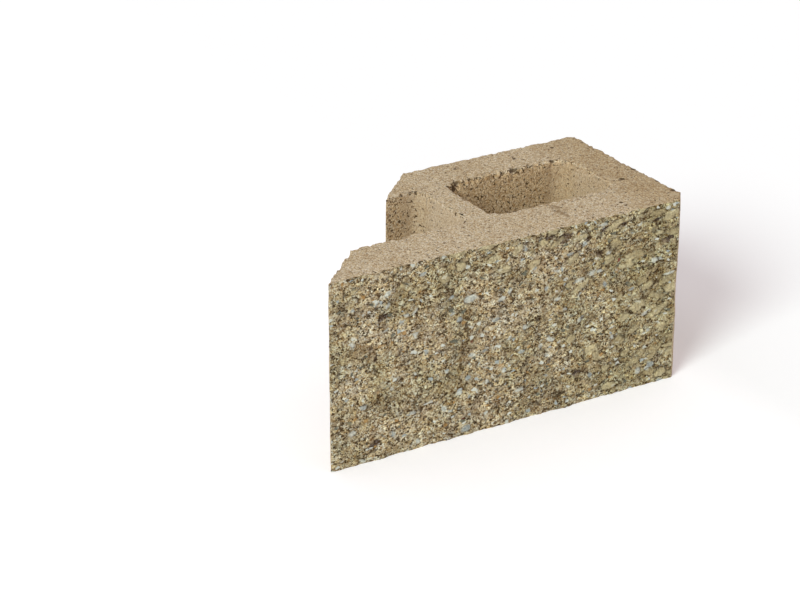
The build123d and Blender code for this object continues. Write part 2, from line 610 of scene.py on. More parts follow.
def rounded_edge(nominal, inward, reach, drop, radius):
    """Points near an edge of the top, moved onto its rounding: a quarter circle of that radius, whose angle
    goes evenly with the way from the top, at a reach from the edge, over it and down the wall, by a drop."""
    way = np.clip((drop - reach) / radius, -1.0, 1.0)
    angle = (way + 1.0) * pi / 4
    near = np.abs(drop - reach) < radius
    push = np.where(near, radius * (1.0 - np.sin(angle)) - reach, 0.0)
    sink = np.where(near, radius * (1.0 - np.cos(angle)) - drop, 0.0)
    moved = nominal.copy()
    moved[..., :2] += push[..., None] * inward
    moved[..., 2] -= sink
    return moved


# Rounding, notches and torn places of the rims and the outer edges
RIM_SEED = 61
OUTER_SEED = 71
RADIUS_NOISE = ((9.0, 0.6), (3.4, 0.55))
RADIUS = 1.2
RADIUS_SWING = 0.3
TORN_RADIUS = 0.8
SHARP_RADIUS = 0.01
NOTCH_NOISE = ((11.0, 0.45), (3.4, 0.8), (2.2, 0.6))
NOTCH_SEED = 65
NOTCH_SHARE = 0.7
NOTCH_TORN_SHARE = 0.3
NOTCH_TORN_RANGE = (0.35, 0.95)
NOTCH_GAIN = 5.5
NOTCH_START = 0.6
NOTCH_DEEPEST = 3.6
NOTCH_TOP_REACH = 6.5
NOTCH_WALL_REACH = 9.0
TORN_BY_NOTCH = 0.3
TORN_REACH = 3.0
TORN_TOP_REACH = 7.0
TORN_WALL_REACH = 9.0
EDGE_TOP_REACH = 7.0
EDGE_WALL_REACH = 9.0
EDGE_TORN = 0.16
RIM_TORN = 0.3
CLOSED_BACK_TORN = 0.65
HALF_BACK_TORN = 0.15
CELL_GRADING = 1.5


def rim_radius(points, torn, seed):
    """Rounding of an edge along its line: small, and a little larger where it is torn."""
    place = np.hstack([points[:, :2], np.zeros((len(points), 1))])
    uneven = layered_noise(place, RADIUS_NOISE, seed)
    return RADIUS + RADIUS_SWING * uneven + TORN_RADIUS * torn * (1.0 + uneven)


def rim_notches(rim, torn):
    """Depth of the notches that a rim has along its line: the higher parts of noise, deepest where the rim is
    torn most."""
    place = np.hstack([rim[:, :2], np.zeros((len(rim), 1))])
    uneven = layered_noise(place, NOTCH_NOISE, NOTCH_SEED)
    share = NOTCH_SHARE + NOTCH_TORN_SHARE * fade(torn, *NOTCH_TORN_RANGE)
    return share * np.clip(NOTCH_GAIN * uneven - NOTCH_START, 0.0, NOTCH_DEEPEST)


def bed_strip(shell, rim, outer, rim_torn, outer_torn, outer_soft, bed_steps):
    """The top and the bed between a rim and the outer line: straight lines from the one to the other, with
    short steps at both ends. The top is rounded and notched at the rim and, where it is soft, rounded at the
    outer line. Torn goes past 1 in the notches."""
    shares = eased_shares(TOP_STEPS)[:, None, None]
    inner = rim[:, :2]
    span = np.hypot(*(outer[:, :2] - inner).T)
    reach = shares[..., 0] * span
    top = at_height(inner + shares * (outer[:, :2] - inner), TOP)
    flat = np.zeros(top.shape[:-1])
    placed = rounded_edge(top, rim[:, 4:6], reach, flat, rim_radius(rim, rim_torn, RIM_SEED))
    soft = np.maximum(rim_radius(outer, outer_torn, OUTER_SEED) * outer_soft, SHARP_RADIUS)
    placed = placed + rounded_edge(top, outer[:, 4:6], span - reach, flat, soft) - top
    notches = rim_notches(rim, rim_torn) * fade(reach, NOTCH_TOP_REACH, 0.0)
    placed[..., :2] += notches[..., None] * rim[:, 4:6]
    torn = rim_torn * fade(reach, TORN_REACH + TORN_TOP_REACH * rim_torn, 0.0) + TORN_BY_NOTCH * notches
    torn = torn + outer_torn * fade(span - reach, EDGE_TOP_REACH, 0.0)
    shell.add_grid(top, placed, torn, turned=True)

    foot = inner + rim[:, 2:4] * CORE_DRAFT * (TOP - BED)
    shares = eased_shares(bed_steps)[:, None, None]
    shell.add_grid(at_height(foot + shares * (outer[:, :2] - foot), BED))


def cell_wall(shell, rim, heights, rim_torn):
    """Wall of a hollow: its rim carried down, sliding by the taper of the core, with the notches of the rim
    running out down the wall."""
    down = np.broadcast_to((TOP - heights)[:, None], (len(heights), len(rim)))
    plan = rim[None, :, :2] + rim[None, :, 2:4] * (CORE_DRAFT * down)[..., None]
    wall = at_heights(plan, heights)
    level = np.zeros(wall.shape[:-1])
    placed = rounded_edge(wall, rim[:, 4:6], level, down, rim_radius(rim, rim_torn, RIM_SEED))
    notches = rim_notches(rim, rim_torn) * fade(down, NOTCH_WALL_REACH, 0.0)
    placed[..., :2] += notches[..., None] * rim[:, 4:6]
    torn = rim_torn * fade(down, TORN_REACH + TORN_WALL_REACH * rim_torn, 0.0) + TORN_BY_NOTCH * notches
    shell.add_grid(wall, placed, torn)


def outer_wall(shell, outer, outer_torn):
    """Chamfer, plain end and back: the outer line carried straight down."""
    down = (TOP - HEIGHTS)[:, None]
    plan = np.broadcast_to(outer[None, :, :2], (len(HEIGHTS),) + outer[:, :2].shape)
    wall = at_heights(plan, HEIGHTS)
    level = np.zeros(wall.shape[:-1])
    placed = rounded_edge(wall, outer[:, 4:6], level, down + level, rim_radius(outer, outer_torn, OUTER_SEED))
    shell.add_grid(wall, placed, outer_torn * fade(down, EDGE_WALL_REACH, 0.0), turned=True)


def mitre_cap(shell, rim_end, outer_end, turned):
    """A mitred end of a shell: at each height a straight line from the wall of the half cell outwards."""
    down = (TOP - HEIGHTS)[:, None, None]
    shares = eased_shares(TOP_STEPS)[None, :, None]
    inner = rim_end[:2] + rim_end[2:4] * CORE_DRAFT * down
    plan = inner + shares * (outer_end[:2] - inner)
    shell.add_grid(at_heights(plan, HEIGHTS), turned=turned)


def block_shell():
    """All the patches of the block: split front, seams behind it, top and bed, walls and mitred ends."""
    shell = Shell()
    lines = outer_lines()
    closed_rim = closed_cell_rim()
    half_rim = half_cell_rim()
    ring = joined(*(lines[side] for side in ("right_front", "chamfer", "end", "corner", "back", "web")))
    bend = joined(lines["left_front"], lines["web"][::-1])
    rear = joined(*(lines[side] for side in ("chamfer", "end", "corner", "back")))

    columns = np.concatenate([
        halved(np.linspace(LEFT, WEB_LINE, LEFT_COLUMNS + 1))[:-1],
        halved(np.linspace(WEB_LINE, CHAMFER_TOP, RIGHT_COLUMNS + 1)),
    ])
    rows = halved(HEIGHTS)
    along, up = np.meshgrid(columns, rows)
    front = np.stack([along, np.full_like(along, FRONT), up], axis=-1)
    shell.add_grid(front, is_split=True, turned=True)

    frame_line = joined(lines["left_front"], lines["right_front"])[:, :2]
    for height, row, turned in ((TOP, 0, False), (BED, -1, True)):
        shell.add_seam(front[row], at_height(frame_line, height), turned)
    for x, column, turned in ((LEFT, 0, True), (CHAMFER_FRAME, -1, False)):
        edge = np.stack([np.full_like(HEIGHTS, x), np.full_like(HEIGHTS, FRAME_LINE), HEIGHTS], axis=-1)
        shell.add_seam(front[:, column], edge, turned)

    closed_torn = torn_share(closed_rim, CLOSED_BACK_TORN)
    half_torn = torn_share(half_rim, HALF_BACK_TORN)
    ring_soft = soft_sides(ring)
    rear_torn = np.full(len(rear), EDGE_TORN)
    sharp = np.zeros(len(bend))
    bed_strip(shell, closed_rim, ring, closed_torn, EDGE_TORN * ring_soft, ring_soft, RING_BED_STEPS)
    bed_strip(shell, half_rim, bend, half_torn, sharp, sharp, TOP_STEPS)
    cell_heights = TOP - (TOP - BED) * np.linspace(0.0, 1.0, CELL_WALL_STEPS + 1) ** CELL_GRADING
    cell_wall(shell, closed_rim, cell_heights, closed_torn)
    cell_wall(shell, half_rim, HEIGHTS, half_torn)
    outer_wall(shell, rear, rear_torn)
    mitre_cap(shell, half_rim[0], bend[0], True)
    mitre_cap(shell, half_rim[-1], bend[-1], False)
    return shell


def torn_share(rim, back_torn):
    """How torn a rim is along its line: the back most, the corners beside it less."""
    back = fade(rim[:, 1], CELL_BACK - HALF_CORE_CORNER, CELL_BACK - 1.0)
    return RIM_TORN + back_torn * back


def soft_sides(ring):
    """1 on the chamfer, the plain end and the back, where the top has an arris, and 0 on the other lines."""
    outside = (ring[:, 0] > CHAMFER_FRAME - NEAR) | (ring[:, 1] > BACK - END_CORNER_RADIUS)
    return np.where(outside & (ring[:, 0] > WEB_LINE + NEAR), 1.0, 0.0)


# Wear and unevenness. The amounts, seeds and ways of the worn edges stand for the front, the plain end, the
# back and the mitre
WEAR_NOISE = ((14.0, 0.35), (5.5, 0.6), (3.0, 0.6))
WEAR_REACH = 10.0
WEAR_BASE = 0.3
WEAR_DEEPEST = 1.8
WORN_EDGES = (
    (1.5, 81, (0.0, 0.6)),
    (1.4, 82, (-0.7, 0.0)),
    (0.8, 83, (0.0, -0.6)),
    (2.0, 84, (0.4, -0.4)),
)
GIVE_START = 1.2
GIVE_REACH = 25.0
BORDER_WIDTH = 0.1
BORDER_RELIEF = 0.9
SHAKE_NOISE = ((5.0, 0.5), (2.6, 0.7))
SHAKE_SEEDS = (91, 93, 95)
SHAKE = 0.14
TORN_SHAKE = 1.2
TORN_SHAKE_RANGE = (0.0, 0.45)
LEVEL_NOISE = ((60.0, 0.25), (22.0, 0.12))
LEVEL_SEEDS = (101, 103, 105)


def edge_wear(points, across, amount, seed):
    """Chips along an edge of the top: how far a point near it is broken away, from noise along the edge."""
    near = np.clip(1.0 - np.hypot(across, TOP - points[:, 2]) / WEAR_REACH, 0.0, 1.0) ** 2
    flat = points * (1.0, 1.0, 0.0)
    uneven = layered_noise(flat, WEAR_NOISE, seed)
    return near * amount * np.clip(WEAR_BASE + uneven, 0.0, WEAR_DEEPEST)


def shaken_ways(points, layers, seeds):
    """Three noises, one for each axis, by which points are moved."""
    return np.stack([layered_noise(points, layers, seed) for seed in seeds], axis=1)


def worn_points(nominal, placed, torn):
    """The placed points with the relief of the split front, chipped edges and the unevenness of the casting,
    and what the finishes need to know of each point. Behind the split front the moulded faces give way with
    its waves."""
    x, y, z = nominal.T
    split = y < FRONT + NEAR
    points = placed.copy()
    depth, sunk, tear, gravel, kind = split_surface(x, z)
    waves = split_waves(x, z)
    from_mitre = (x - y + MITRE_SHIFT) / sqrt(2)

    give = np.maximum(waves - GIVE_START, 0.0) * fade(y, CELL_FRONT - GIVE_REACH, FRAME_LINE)
    points[:, 1] += np.where(split, 0.0, give)
    points[:, 0] += np.where(split, 0.0, give * fade(from_mitre, GIVE_REACH, 0.0))
    border = np.minimum.reduce([TOP - z, z - BED, x - LEFT, CHAMFER_TOP - x])
    tamed = np.where(border < BORDER_WIDTH, np.minimum(depth, waves + BORDER_RELIEF), depth)
    points[:, 1] += np.where(split, np.maximum(tamed, 0.0), 0.0)

    distances = (y - FRONT, RIGHT - x, BACK - y, np.abs(from_mitre))
    for across, (amount, seed, way) in zip(distances, WORN_EDGES):
        loss = edge_wear(nominal, across, amount, seed)
        points[:, 2] -= loss
        points[:, :2] += loss[:, None] * np.array(way)

    strength = np.where(split, 0.0, SHAKE + TORN_SHAKE * fade(torn, *TORN_SHAKE_RANGE))[:, None]
    moulded = np.where(split, 0.0, 1.0)[:, None]
    shake = shaken_ways(nominal, SHAKE_NOISE, SHAKE_SEEDS)
    level = shaken_ways(nominal, LEVEL_NOISE, LEVEL_SEEDS)
    points += strength * shake + moulded * level
    points = np.clip(points, low, high)
    points[:, 2] = np.where(z < BED + NEAR, BED, points[:, 2])

    values = {
        "hollow": sunk,
        "tear": tear,
        "dark_zone": dark_zone_share(x, z),
        "stone": gravel,
        "stone_kind": kind,
        "torn": torn,
    }
    return points, values


def block_mesh():
    """The closed mesh of the block, in metres, with its attributes for the finishes."""
    nominal, placed, torn, triangles, split_faces = block_shell().welded()
    points, values = worn_points(nominal, placed, torn)
    mesh = bpy.data.meshes.new("corner_block_cast")
    mesh.from_pydata(points * MM, [], triangles)
    for name, value in values.items():
        mesh.attributes.new(name, "FLOAT", "POINT").data.foreach_set("value", value.astype(np.float32))
    mesh.materials.append(moulded_concrete())
    mesh.materials.append(split_concrete())
    mesh.polygons.foreach_set("material_index", split_faces.astype(np.int32))
    mesh.polygons.foreach_set("use_smooth", np.ones(len(triangles), bool))
    mesh.update()
    return mesh


# Finishes

def add(tree, kind, inputs=None, **settings):
    """A node of that kind with its settings. Its inputs are set to values or linked to sockets."""
    node = tree.nodes.new(kind)
    for name, value in settings.items():
        setattr(node, name, value)
    for name, value in (inputs or {}).items():
        if isinstance(value, bpy.types.NodeSocket):
            tree.links.new(value, node.inputs[name])
        else:
            node.inputs[name].default_value = value
    return node


def math_of(tree, operation, first, second):
    """Math on two values or sockets."""
    return add(tree, "ShaderNodeMath", {0: first, 1: second}, operation=operation).outputs[0]


def times(tree, first, *others):
    """Product of values or sockets."""
    for other in others:
        first = math_of(tree, "MULTIPLY", first, other)
    return first


def largest(tree, first, *others):
    """Largest of values or sockets."""
    for other in others:
        first = math_of(tree, "MAXIMUM", first, other)
    return first


def vector_of(tree, operation, first, second):
    """Math on two vectors or sockets."""
    return add(tree, "ShaderNodeVectorMath", {0: first, 1: second}, operation=operation).outputs[0]


def ranged(tree, value, start, stop, first=0.0, last=1.0):
    """A value taken smoothly from one range to another."""
    inputs = {"Value": value, "From Min": start, "From Max": stop, "To Min": first, "To Max": last}
    return add(tree, "ShaderNodeMapRange", inputs, interpolation_type="SMOOTHSTEP").outputs["Result"]


def blended(tree, share, first, second, blend_type="MIX"):
    """Two colours blended by a share."""
    inputs = {0: share, 6: first, 7: second}
    return add(tree, "ShaderNodeMix", inputs, data_type="RGBA", blend_type=blend_type).outputs[2]


def new_group(name, inputs, outputs):
    """An empty shader node group with its sockets, and its input and output nodes."""
    tree = bpy.data.node_groups.new(name, "ShaderNodeTree")
    for socket, kind in inputs:
        tree.interface.new_socket(socket, in_out="INPUT", socket_type=kind)
    for socket, kind in outputs:
        tree.interface.new_socket(socket, in_out="OUTPUT", socket_type=kind)
    return tree, tree.nodes.new("NodeGroupInput").outputs, tree.nodes.new("NodeGroupOutput")


VALUE = "NodeSocketFloat"
COLOUR = "NodeSocketColor"
PLACE = "NodeSocketVector"

# Gaps between grains and rims of pores: where a share starts and where it ends. The bend of the pores has the
# scale of its noise and its reach
GAP_UNEVEN = 0.5
GAP_RIM = (1.0, 1.07)
PORE_BEND = (0.7, 1.6)
PORE_SMALLEST = 0.45
PORE_RIM = (1.08, 0.85)
FAINT_GLOSS = 0.12


def noise(tree, place, size, detail=2.0):
    """Noise from 0 to 1 with features of about that size in millimetres."""
    inputs = {"Vector": place, "Scale": 1.0 / size, "Detail": detail, "Roughness": 0.55}
    return add(tree, "ShaderNodeTexNoise", inputs).outputs["Fac"]


def cells(tree, place, size):
    """Voronoi cells of about that size in millimetres: the node, with its distance and its random colour."""
    return add(tree, "ShaderNodeTexVoronoi", {"Vector": place, "Scale": 1.0 / size})


def shaken_place(tree, place, scale, reach):
    """A place moved along each axis by noise of that scale, from 0 up to that reach."""
    way = add(tree, "ShaderNodeTexNoise", {"Vector": place, "Scale": scale, "Detail": 1.0}).outputs["Color"]
    inputs = {0: way, 1: (reach, reach, reach), 2: place}
    return add(tree, "ShaderNodeVectorMath", inputs, operation="MULTIPLY_ADD").outputs[0]


def block_place(tree):
    """Place on the block in millimetres."""
    where = add(tree, "ShaderNodeTexCoord").outputs["Object"]
    return add(tree, "ShaderNodeVectorMath", {0: where, "Scale": 1.0 / MM}, operation="SCALE").outputs[0]


def broken_grain_group():
    """Grains of broken concrete: cells, each with its own random lot, a height that falls off from the middle
    of the grain, a facet that tilts its own way, and gaps where several grains meet."""
    tree, given, out = new_group(
        "Broken grain",
        [("Place", PLACE), ("Size", VALUE), ("Openness", VALUE)],
        [("Lot", COLOUR), ("Height", VALUE), ("Facet", VALUE), ("Gap", VALUE)],
    )
    scale = math_of(tree, "DIVIDE", 1.0, given["Size"])
    grains = add(tree, "ShaderNodeTexVoronoi", {"Vector": given["Place"], "Scale": scale}).outputs
    fall = times(tree, grains["Distance"], grains["Distance"])
    aside = vector_of(tree, "SUBTRACT", given["Place"], grains["Position"])
    tilt = vector_of(tree, "SUBTRACT", grains["Color"], (0.5, 0.5, 0.5))
    facet = add(tree, "ShaderNodeVectorMath", {0: aside, 1: tilt}, operation="DOT_PRODUCT").outputs["Value"]
    inputs = {"Vector": given["Place"], "Scale": scale, "Detail": 2.0, "Roughness": 0.6}
    uneven = add(tree, "ShaderNodeTexNoise", inputs).outputs["Fac"]
    reach = math_of(tree, "ADD", grains["Distance"], times(tree, uneven, GAP_UNEVEN))
    gap = ranged(tree, math_of(tree, "ADD", reach, given["Openness"]), *GAP_RIM)
    tree.links.new(grains["Color"], out.inputs["Lot"])
    tree.links.new(math_of(tree, "SUBTRACT", 1.0, fall), out.inputs["Height"])
    tree.links.new(facet, out.inputs["Facet"])
    tree.links.new(gap, out.inputs["Gap"])
    return tree


def pores_group():
    """Pores: round holes, a little bent, in some of the cells of a Voronoi lattice, of differing size."""
    tree, given, out = new_group(
        "Pores",
        [("Place", PLACE), ("Spacing", VALUE), ("Share", VALUE), ("Width", VALUE)],
        [("Hole", VALUE)],
    )
    bent = shaken_place(tree, given["Place"], *PORE_BEND)
    scale = math_of(tree, "DIVIDE", 1.0, given["Spacing"])
    holes = add(tree, "ShaderNodeTexVoronoi", {"Vector": bent, "Scale": scale}).outputs
    chance = add(tree, "ShaderNodeSeparateColor", {0: holes["Color"]}).outputs
    open_hole = math_of(tree, "LESS_THAN", chance[0], given["Share"])
    reach = times(tree, holes["Distance"], given["Spacing"])
    width = times(tree, given["Width"], math_of(tree, "ADD", PORE_SMALLEST, chance[1]))
    inside = ranged(tree, math_of(tree, "DIVIDE", reach, width), *PORE_RIM)
    tree.links.new(times(tree, inside, open_hole), out.inputs["Hole"])
    return tree


def grains_of(tree, place, size, openness):
    """The grains of that size placed in a material: their lot, height, facet and gap."""
    inputs = {"Place": place, "Size": size, "Openness": openness}
    return add(tree, "ShaderNodeGroup", inputs, node_tree=GRAIN).outputs


def pores_of(tree, place, spacing, share, width):
    """The pores of that spacing, share and width placed in a material."""
    inputs = {"Place": place, "Spacing": spacing, "Share": share, "Width": width}
    return add(tree, "ShaderNodeGroup", inputs, node_tree=PORES).outputs["Hole"]


def attribute(tree, name):
    """A value that the mesh holds for each point."""
    return add(tree, "ShaderNodeAttribute", attribute_name=name).outputs["Fac"]


def new_material(name, roughness):
    """A material with its shader, at a plain roughness and a faint gloss."""
    material = bpy.data.materials.new(name)
    material.use_nodes = True
    tree = material.node_tree
    tree.nodes.clear()
    inputs = {"Roughness": roughness, "Specular IOR Level": FAINT_GLOSS}
    shader = add(tree, "ShaderNodeBsdfPrincipled", inputs)
    add(tree, "ShaderNodeOutputMaterial", {"Surface": shader.outputs["BSDF"]})
    return material, tree, shader


def add_bump(tree, shader, relief, strength, distance):
    """Relief that the shader gets as a bump."""
    bump = add(tree, "ShaderNodeBump", {"Height": relief, "Strength": strength, "Distance": distance})
    tree.links.new(bump.outputs[0], shader.inputs["Normal"])


GRAIN = broken_grain_group()
PORES = pores_group()

SAND = (0.527, 0.412, 0.268, 1.0)
BROWN_SAND = (0.436, 0.32, 0.186, 1.0)
TAN_PATCH = (0.82, 0.76, 0.66, 1.0)
HALF_WALL = (0.468, 0.357, 0.235, 1.0)
# Painted light: CELL_WALL is paler than HALF_WALL, lifting the walls of the closed cell, which lie deeper in
# shade
CELL_WALL = (0.532, 0.394, 0.246, 1.0)
OUTER_WALL = (0.50, 0.385, 0.25, 1.0)
# Painted shade: the cells' back walls, which face away from the lamp, are browner
BACK_WALL_SHADE_TINT = (1.0, 0.955, 0.85, 1.0)
# Painted shade: the corners at the right ends of the cells are darkened
CORNER_SHADE_TINT = (0.94, 0.915, 0.865, 1.0)
# Painted highlight: a pale line along the rounded rims and pale teeth along the torn rims
RIM_HIGHLIGHT_TINT = (1.06, 1.06, 1.08, 1.0)
TEETH_HIGHLIGHT_TINT = (1.2, 1.19, 1.17, 1.0)
MARK_BROWN = (0.23, 0.15, 0.075, 1.0)
PORE_BROWN = (0.058, 0.031, 0.012, 1.0)
MATRIX = (0.553, 0.436, 0.264, 1.0)
OLIVE_MATRIX = (0.425, 0.342, 0.188, 1.0)
FLAKE_OLIVE = (0.56, 0.47, 0.275, 1.0)
END_TINT = (0.88, 0.905, 0.84, 1.0)
# Tint of the split's darker zones
DARK_ZONE_TINT = (0.70, 0.64, 0.60, 1.0)
TEAR_BROWN = (0.10, 0.065, 0.055, 1.0)
PALE_STONE = (0.62, 0.635, 0.565, 1.0)
BLUE_STONE = (0.38, 0.42, 0.41, 1.0)
DARK_STONE = (0.11, 0.115, 0.09, 1.0)
OCHRE_STONE = (0.38, 0.22, 0.08, 1.0)
RED_STONE = (0.20, 0.055, 0.04, 1.0)

# Larger pits of the top face and of the cells' walls, and a painted shade in the back left corner of the
# closed cell, as x, y, drop below the top and radius, and the drag mark that runs across the front shell
PITS_AND_CORNER_SHADE = (
    (172.0, -25.0, 0.0, 3.8),
    (135.3, -75.0, 0.0, 2.4),
    (135.6, -82.5, 0.0, 2.0),
    (162.0, 82.0, 0.0, 2.4),
    (112.0, 76.0, 0.0, 2.3),
    (46.0, 82.0, 0.0, 1.9),
    (15.5, 47.0, 0.5, 2.4),
    # Painted shade: a dark spot in the back left corner of the closed cell, where its shade is deepest
    (24.0, 50.0, 5.5, 4.4),
    (-19.2, -37.6, 0.5, 2.6),
    (-14.0, -14.0, 1.9, 2.2),
    (-12.5, -19.9, 0.0, 1.9),
    (-34.5, 51.0, 1.0, 2.0),
    (-24.9, 51.0, 1.5, 1.8),
    (-18.0, 51.0, 2.0, 2.6),
    (-46.5, 51.0, 26.0, 1.4),
    (-37.0, 51.0, 27.5, 2.0),
    (-31.0, 51.0, 30.5, 1.4),
    (-46.0, 51.0, 35.0, 2.1),
    (-35.7, 51.0, 41.0, 1.7),
    (198.0, -8.0, 0.0, 3.4),
    (199.0, -47.0, 0.0, 2.6),
    (197.4, -74.5, 0.0, 3.2),
)
PIT_SHAKE = (0.8, 2.4)
PIT_FLOOR = 0.6
DRAG_MARK_X = 73.0
DRAG_MARK_ENDS = (-43.0, -82.0)
DRAG_MARK_WIDTH = 5.5
DRAG_MARK_WANDER = 5.0
DRAG_MARK_BEND = 14.0
DRAG_MARK_PATCH = 6.0
DRAG_MARK_FADE = 5.0

# Moulded faces: the places between which a share goes from 0 to 1
WALL_START = (TOP - 0.9, TOP - 2.8)
CELLS_FRONT = (CELL_FRONT - 7.0, CELL_FRONT - 5.0)
CELLS_BACK = (CELL_BACK + 2.5, CELL_BACK + 1.2)
CELLS_RIGHT = (CELL_RIGHT + 7.0, CELL_RIGHT + 5.0)
FAR_WALLS = (CELL_BACK - 26.0, CELL_BACK - 8.0)
# HALF_CORNER, WEB_MIDDLE and CLOSED_CORNER bound the painted shade in the corners at the cells' right ends
HALF_CORNER = (HALF_CELL_RIGHT - 26.0, HALF_CELL_RIGHT - 14.0)
WEB_MIDDLE = (CELL_LEFT - 6.0, CELL_LEFT - 7.0)
CLOSED_CORNER = (CELL_RIGHT - 30.0, CELL_RIGHT - 16.0)
CLOSED_WALLS = (HALF_CELL_RIGHT + 12.0, CELL_LEFT + 2.0)
BROWN_BACK = (CELL_FRONT - 5.0, CELL_BACK + 9.0)
BROWN_END = (CELL_RIGHT - 46.0, CELL_RIGHT + 24.0)
NOTCH_SHADE_DROP = (TOP - 0.5, TOP - 1.7)

# Moulded faces: sizes of patches and grains, pores as spacing, share and width, and how strong each is. A
# variation is an amount and a warmth
PATCH_SIZE = 30.0
PATCH_SHARE = 0.55
BROWN_BACK_SHARE = 0.25
FINE_GRAIN = 1.2
COARSE_GRAIN = 2.2
TORN_OPENNESS = (-0.05, 0.06)
BACK_WALL_OPENNESS = 0.04
FINE_TONES = (0.42, 0.08)
COARSE_TONES = (0.08, 0.04)
SIDE_WALL_EVENNESS = 0.45
PINHOLES = (7.0, 0.3, 0.8)
WALL_PITS = (3.6, 0.5, 0.82)
FINE_GAPS = 0.3
NOTCH_SHADE_DARKNESS = 0.9
MARK_DARKNESS = 0.9
HOLE_DARKNESS = 0.88
GRAIN_RELIEF = 0.6
MOULDED_BUMP = (0.9, 0.8 * MM)


def toned(tree, colour, lot, amount, warmth):
    """A colour varied by the random lot of its grain: from darker and browner to lighter and paler by that
    amount, and from warmer to cooler by that warmth."""
    first, second, _ = add(tree, "ShaderNodeSeparateColor", {0: lot}).outputs
    darker = [1.0 - share * amount for share in (0.8, 1.05, 1.3)] + [1.0]
    lighter = [1.0 + share * amount for share in (0.75, 1.0, 1.4)] + [1.0]
    varied = blended(tree, 1.0, colour, blended(tree, first, darker, lighter), "MULTIPLY")
    warmer = [1.0 + share * warmth for share in (0.35, 0.0, -1.0)] + [1.0]
    cooler = [1.0 + share * warmth for share in (-0.55, 0.0, 1.0)] + [1.0]
    return blended(tree, 1.0, varied, blended(tree, second, warmer, cooler), "MULTIPLY")


def marked_places(tree, place):
    """The larger pits and the painted shade in a cell's corner, from 0 to 1, with ragged rims, and the patchy
    drag mark of the top face.
    """
    scale, shake = PIT_SHAKE
    moved = shaken_place(tree, place, scale, shake)
    moved = vector_of(tree, "SUBTRACT", moved, (shake / 2, shake / 2, shake / 2))
    pits = 0.0
    for x, y, drop, radius in PITS_AND_CORNER_SHADE:
        inputs = {0: moved, 1: (x, y, TOP - drop)}
        reach = add(tree, "ShaderNodeVectorMath", inputs, operation="DISTANCE").outputs["Value"]
        pits = largest(tree, pits, ranged(tree, reach, radius, PIT_FLOOR * radius))
    along, depth, height = add(tree, "ShaderNodeSeparateXYZ", {0: moved}).outputs
    sides = (DRAG_MARK_X - DRAG_MARK_WANDER, DRAG_MARK_X + DRAG_MARK_WANDER)
    wander = ranged(tree, noise(tree, place, DRAG_MARK_BEND), 0.2, 0.8, *sides)
    aside = math_of(tree, "ABSOLUTE", math_of(tree, "SUBTRACT", along, wander), 0.0)
    patchy = ranged(tree, noise(tree, place, DRAG_MARK_PATCH), 0.3, 0.6, 0.4, 1.0)
    start, stop = DRAG_MARK_ENDS
    mark = times(
        tree,
        ranged(tree, aside, DRAG_MARK_WIDTH, 0.0),
        patchy,
        ranged(tree, depth, start, start - DRAG_MARK_FADE),
        ranged(tree, depth, stop, stop + DRAG_MARK_FADE),
        ranged(tree, height, TOP - 3.0, TOP - 2.0),
    )
    return pits, mark


def moulded_zones(tree, along, depth, height):
    """Shares of all walls, of the zone of the cells, of the cells' back walls and of the corners at their
    right ends. On the back walls and in these corners the finish paints shade."""
    wall = ranged(tree, height, *WALL_START)
    inside = times(
        tree,
        ranged(tree, depth, *CELLS_FRONT),
        ranged(tree, depth, *CELLS_BACK),
        ranged(tree, along, *CELLS_RIGHT),
    )
    by_web = times(tree, ranged(tree, along, *HALF_CORNER), ranged(tree, along, *WEB_MIDDLE))
    by_end = largest(tree, by_web, ranged(tree, along, *CLOSED_CORNER))
    far = times(tree, wall, inside, ranged(tree, depth, *FAR_WALLS))
    corner = times(tree, far, by_end)
    return wall, inside, math_of(tree, "SUBTRACT", far, corner), corner


